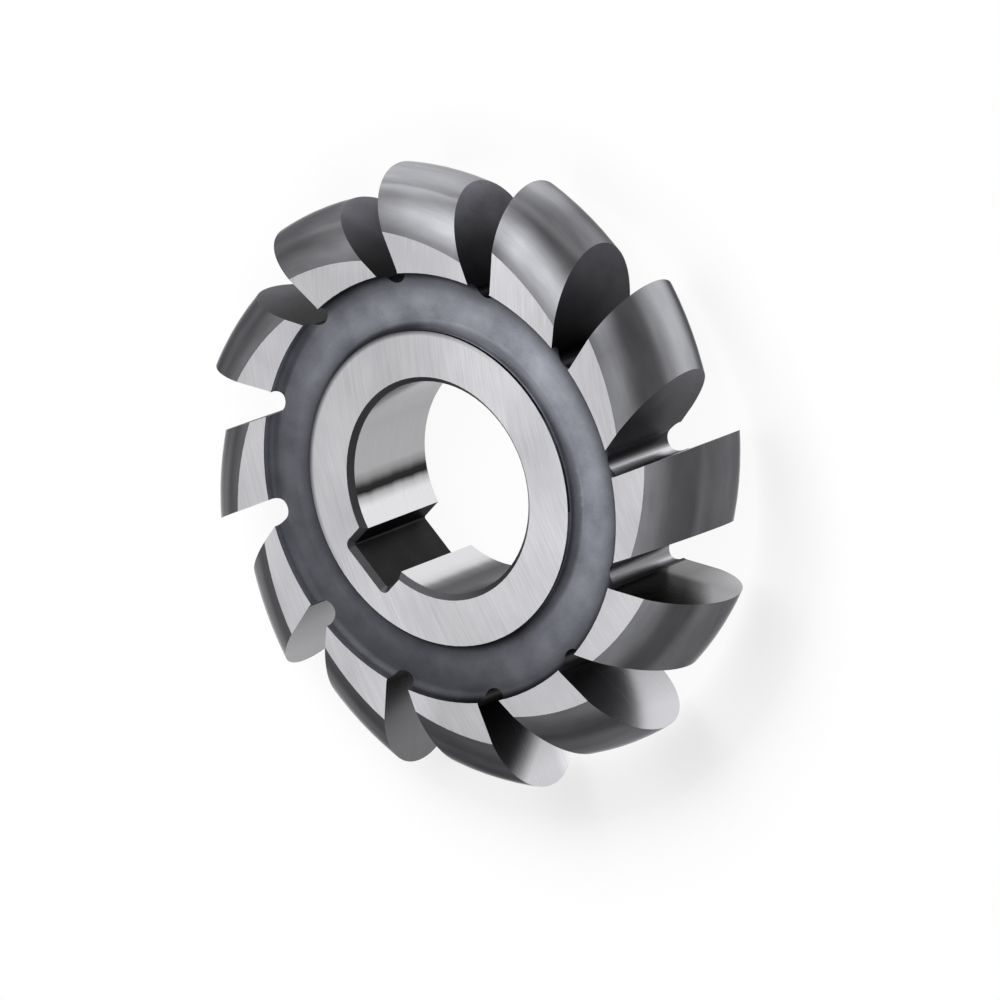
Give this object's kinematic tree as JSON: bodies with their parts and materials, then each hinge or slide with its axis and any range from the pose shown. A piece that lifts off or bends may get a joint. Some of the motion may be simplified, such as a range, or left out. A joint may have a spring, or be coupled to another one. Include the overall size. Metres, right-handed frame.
{
  "type": "convex radius milling cutter",
  "caption": "Keyed milling cutter: a flat disc with relieved half-round teeth round its rim, for milling a round-bottomed groove.",
  "frame": {"origin": "on the bore's axis, in the plane of the lower side face that the cutter lies on", "axes": "+Z along the bore's axis and up, +X from the axis towards the keyway"},
  "size_m": [0.08, 0.08, 0.0158],
  "materials": {
    "tool_steel": "hardened tool steel: side faces and bore ground bright, teeth and recess dark"
  },
  "bodies": {
    "root": {"cutter": "tool_steel"}
  },
  "joints": []
}
